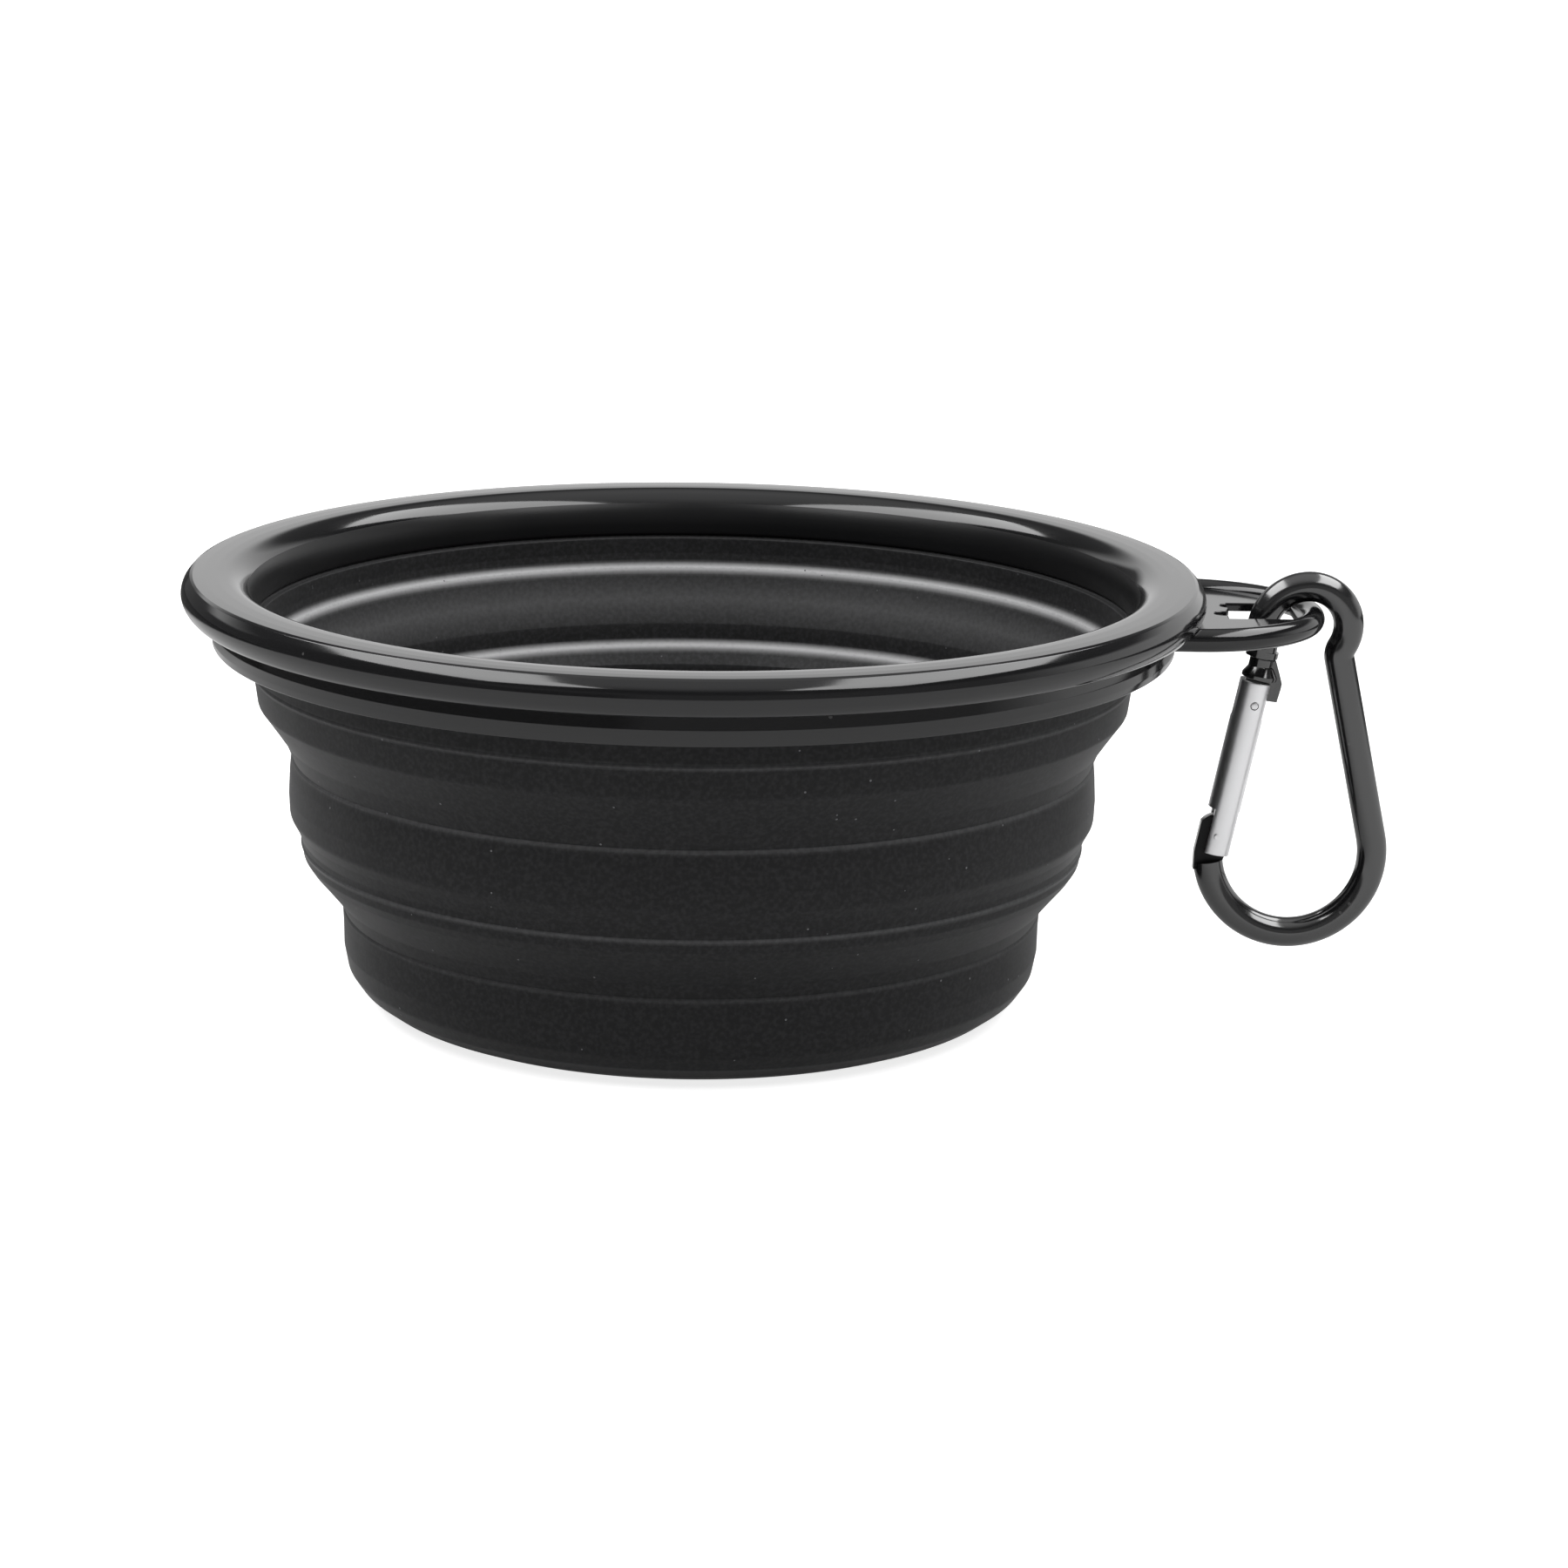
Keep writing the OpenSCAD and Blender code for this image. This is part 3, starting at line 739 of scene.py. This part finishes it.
# The cup's outside; its lightest colour, 0.23, is painted highlight along the folds
soft_silicone = finish_material(
    "matt_black_silicone", (0.0035, 0.0035, 0.0042), (0.0065, 0.0065, 0.0072), (0.1, 0.1, 0.105),
    (0.23, 0.23, 0.235), (0.58, 0.68), bump=0.12, grain=1800.0, speck_amount=0.014, speck_scale=1300.0,
    folds=True, mottle=0.08, sockets={"IOR": 1.34, "Sheen Weight": 0.14, "Sheen Roughness": 0.35})
# The cup's inside: a lighter copy of the silicone as painted light, with its lightest colour as painted
# highlight on the inner shoulders
silicone_inside_painted_lit = finish_material(
    "matt_black_silicone_painted_lit_inside", (0.009, 0.009, 0.0095), (0.014, 0.014, 0.0145), (0.07, 0.07, 0.075),
    (0.42, 0.42, 0.425), (0.55, 0.65), bump=0.2, grain=1800.0, speck_amount=0.014, speck_scale=1300.0,
    folds=True, mottle=0.18, sockets={"IOR": 1.33, "Sheen Weight": 0.05, "Sheen Roughness": 0.35})
black_anodised = finish_material(
    "black_anodised_rod", (0.004, 0.004, 0.0045), (0.006, 0.006, 0.0065), (0.05, 0.05, 0.05),
    (0.03, 0.03, 0.032), (0.13, 0.17), bump=0.015, sockets={"IOR": 1.95})
# The tongue's flat sides: a rougher, far less reflective copy of the rod's black, as painted shade
dull_black_painted_shade = finish_material(
    "black_dull_tongue_painted_shade", (0.004, 0.004, 0.0045), (0.006, 0.006, 0.0065), (0.02, 0.02, 0.02),
    (0.03, 0.03, 0.032), (0.4, 0.5), bump=0.015, sockets={"IOR": 1.3})
bright_plate = finish_material(
    "bright_gate_metal", (0.88, 0.88, 0.89), (0.94, 0.94, 0.95), (0.6, 0.6, 0.61),
    (0.97, 0.97, 0.97), (0.3, 0.42), bump=0.05, metallic=1.0)
steel_inside = finish_material(
    "spring_steel", (0.4, 0.4, 0.42), (0.5, 0.5, 0.52), (0.3, 0.3, 0.3),
    (0.6, 0.6, 0.6), (0.28, 0.4), bump=0.05, metallic=1.0)


# Finishes on the pieces

# Where the rim's dull inner wall ends, the tongue's top, and how squarely a face looks up or aside
RIM_WALL_TOP = 54.3
RIM_WALL_R = 57.3
TONGUE_TOP = PIVOT_Z + 4
LOOKS_UP = 0.9
LOOKS_ASIDE = 0.95


def faces_axis(face):
    """True where a face looks towards the bowl's axis."""
    return face.normal.x * face.center.x + face.normal.y * face.center.y < 0


def inside_cup(face):
    """The cup's inner wall, and the top of its floor."""
    on_floor = face.normal.z > LOOKS_UP and face.center.z < (FLOOR_TOP + 0.5) * MM
    return faces_axis(face) or on_floor


def inner_wall_of_rim(face):
    """The rim's upright inner wall, below its rolled edge."""
    radius = sqrt(face.center.x ** 2 + face.center.y ** 2)
    return faces_axis(face) and face.center.z < RIM_WALL_TOP * MM and radius < RIM_WALL_R * MM


def flat_of_blade(face):
    """The two flat sides of the tongue."""
    on_side = abs(abs(face.center.y) - BLADE_T / 2 * MM) < CLOSE * MM
    return abs(face.normal.y) > LOOKS_ASIDE and on_side and face.center.z < TONGUE_TOP * MM


def dress(obj, mat, slot, second=None, chosen=None):
    """Give a piece its finish, and the chosen faces a second one."""
    obj.data.materials.clear()
    obj.data.materials.append(mat)
    if second:
        obj.data.materials.append(second)
        for face in obj.data.polygons:
            if chosen(face):
                face.material_index = 1


# The cup's inner faces take the lighter copy of the silicone, painted lit
inside = (silicone_inside_painted_lit, inside_cup)
dull_wall = (satin_plastic, inner_wall_of_rim)
# Painted shade: the tongue's flat sides take the less reflective copy of the rod's black
dull_tongue_painted_shade = (dull_black_painted_shade, flat_of_blade)

for obj, body, node, mat, slot, other in (
        (rim, "rim", "rim_ring", gloss_plastic, "rim_plastic", dull_wall),
        (clamp, "rim", "clamp_ring", gloss_plastic, "rim_plastic", ()),
        (collar, "rim", "silicone_collar", soft_silicone, "silicone", inside),
        (band, "middle", "middle_band", soft_silicone, "silicone", inside),
        (base, "base", "base_cup", soft_silicone, "silicone", inside),
        (rod, "carabiner", "carabiner_frame", black_anodised, "black_metal", dull_tongue_painted_shade),
        (gate, "gate", "gate", bright_plate, "bright_metal", ()),
        (rivet, "gate", "gate_rivet", bright_plate, "bright_metal", ()),
        (pin, "gate", "latch_pin", bright_plate, "bright_metal", ())):
    dress(obj, mat, slot, *other)
    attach(obj, body)
    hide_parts(node)

for obj, node, first, second, high, low in (
        (upper_web, "upper_web", "rim", "middle", FOLD, BAND_TOP),
        (lower_web, "lower_web", "middle", "base", LEDGE, BASE_TOP)):
    dress(obj, soft_silicone, "silicone", *inside)
    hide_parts(node)
    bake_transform(obj)

for name in ("gate_plunger", "gate_spring"):
    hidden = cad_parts[name]
    if not hidden.material_slots:
        hidden.data.materials.append(steel_inside)
    for slot in hidden.material_slots:
        slot.material = steel_inside


# Floor, with a plain pale finish

# In reflections the floor is pale near the bowl and dark beyond it, from one distance to the other
FLOOR_NEAR = 0.7
FLOOR_FAR = 0.06
FLOOR_EDGE = (0.15, 0.24)

# How much of its white the floor gives by itself, in reflections and to the camera
WHITE_REFLECTED = 0.35
WHITE_SEEN = 0.8


def make_floor():
    """A plain white floor that keeps the object's shadow."""
    bm = bmesh.new()
    bmesh.ops.create_grid(bm, x_segments=1, y_segments=1, size=4.0)
    floor = piece("studio_floor", bm)
    mat = bpy.data.materials.new("studio_white")
    mat.use_nodes = True
    mat.node_tree.nodes.clear()
    n = Nodes(mat.node_tree)
    out = n.add("ShaderNodeOutputMaterial")
    rays = n.add("ShaderNodeLightPath")
    straight = rays.outputs["Is Camera Ray"]
    matt = n.add("ShaderNodeBsdfDiffuse")
    matt.inputs["Color"].default_value = (0.8, 0.8, 0.8, 1)
    parts = n.add("ShaderNodeSeparateXYZ")
    n.link(n.add("ShaderNodeTexCoord").outputs["Object"], parts.inputs[0])
    level = n.maths("MAXIMUM", n.span(parts.outputs["Y"], *FLOOR_EDGE, FLOOR_NEAR, FLOOR_FAR), straight)
    bright = n.add("ShaderNodeEmission")
    bright.inputs["Color"].default_value = (1, 1, 1, 1)
    white = n.span(straight, 0.0, 1.0, WHITE_REFLECTED, WHITE_SEEN)
    n.link(n.maths("MULTIPLY", white, level), bright.inputs["Strength"])
    shadow = n.add("ShaderNodeBsdfDiffuse")
    n.link(n.mixed(level, (0, 0, 0), (0.5, 0.5, 0.5)), shadow.inputs["Color"])
    both = n.add("ShaderNodeAddShader")
    n.link(bright.outputs[0], both.inputs[0])
    n.link(shadow.outputs[0], both.inputs[1])
    seen = n.maths("MAXIMUM", straight, rays.outputs["Is Glossy Ray"])
    seen = n.maths("MAXIMUM", seen, rays.outputs["Is Transmission Ray"])
    mix = n.add("ShaderNodeMixShader")
    n.link(seen, mix.inputs[0])
    n.link(matt.outputs[0], mix.inputs[1])
    n.link(both.outputs[0], mix.inputs[2])
    n.link(mix.outputs[0], out.inputs[0])
    floor.data.materials.append(mat)


make_floor()


# Studio: white low backdrop behind, dark room in front, pale ceiling, and plain white to the camera

# Brightness of the dark room and of its ceiling
ROOM = 0.12
CEILING = 0.8


def make_world():
    """The room that the object reflects, by direction, and the white that the camera sees."""
    world = bpy.data.worlds.new("studio")
    scene.world = world
    world.use_nodes = True
    world.node_tree.nodes.clear()
    n = Nodes(world.node_tree)
    out = n.add("ShaderNodeOutputWorld")
    parts = n.add("ShaderNodeSeparateXYZ")
    n.link(n.add("ShaderNodeTexCoord").outputs["Generated"], parts.inputs[0])
    east, north, up = (parts.outputs[key] for key in "XYZ")
    low = n.span(up, 0.32, 0.44, 1.0, 0.0)
    behind = n.span(north, -0.35, 0.1, 0.15, 1.0)
    # The backdrop stops a little left of the middle, and only its upper part goes on to the corner
    corner = n.maths("MULTIPLY", n.span(up, 0.24, 0.3, 0.0, 1.0), n.span(east, -0.84, -0.66, 0.0, 1.0))
    screen = n.maths("MAXIMUM", n.span(east, -0.3, -0.17, 0.0, 1.0), corner)
    backdrop = n.maths("MULTIPLY", n.maths("MULTIPLY", low, behind), screen)
    ceiling = n.span(up, 0.6, 0.95, ROOM, CEILING)
    level = n.maths("MAXIMUM", n.span(backdrop, 0.0, 1.0, ROOM, 1.0), ceiling)
    room = n.add("ShaderNodeBackground")
    bright = n.add("ShaderNodeBackground")
    for shade in (room, bright):
        shade.inputs["Color"].default_value = (1, 1, 1, 1)
    n.link(level, room.inputs["Strength"])
    mix = n.add("ShaderNodeMixShader")
    n.link(n.add("ShaderNodeLightPath").outputs["Is Camera Ray"], mix.inputs[0])
    n.link(room.outputs[0], mix.inputs[1])
    n.link(bright.outputs[0], mix.inputs[2])
    n.link(mix.outputs[0], out.inputs[0])


make_world()


def softbox(name, place, size, power):
    """A lamp panel that faces straight down."""
    data = bpy.data.lights.new(name, "AREA")
    data.shape = "RECTANGLE"
    data.size = size[0]
    data.size_y = size[1]
    data.energy = power
    lamp = bpy.data.objects.new(name, data)
    scene.collection.objects.link(lamp)
    lamp.location = place


LAMP_SIZE = (0.85, 2.1)
LAMP_POWER = 29
for name, place in (("left_softbox", (-0.9, -0.1, 1.2)), ("right_softbox", (0.9, -0.1, 1.2))):
    softbox(name, place, LAMP_SIZE, LAMP_POWER)


# Camera, at the photograph's place

CAMERA_PLACE = (0, -0.539, 0.1628)
CAMERA_LENS = 98.64
CAMERA_RIGHT = (0.9997, -0.0177, 0.0163)
CAMERA_FORWARD = (0.0212, 0.9698, -0.2429)


def make_camera():
    """The camera, with its place and turn as fitted to the photograph."""
    data = bpy.data.cameras.new("camera")
    data.sensor_width = 36
    data.lens = CAMERA_LENS
    camera = bpy.data.objects.new("camera", data)
    scene.collection.objects.link(camera)
    forward = Vector(CAMERA_FORWARD).normalized()
    right = Vector(CAMERA_RIGHT)
    right = (right - forward * right.dot(forward)).normalized()
    above = right.cross(forward)
    turn = Matrix((right, above, -forward)).transposed().to_4x4()
    camera.matrix_world = Matrix.Translation(CAMERA_PLACE) @ turn
    scene.camera = camera


make_camera()
scene.view_settings.view_transform = "Standard"

low, high = cad_box
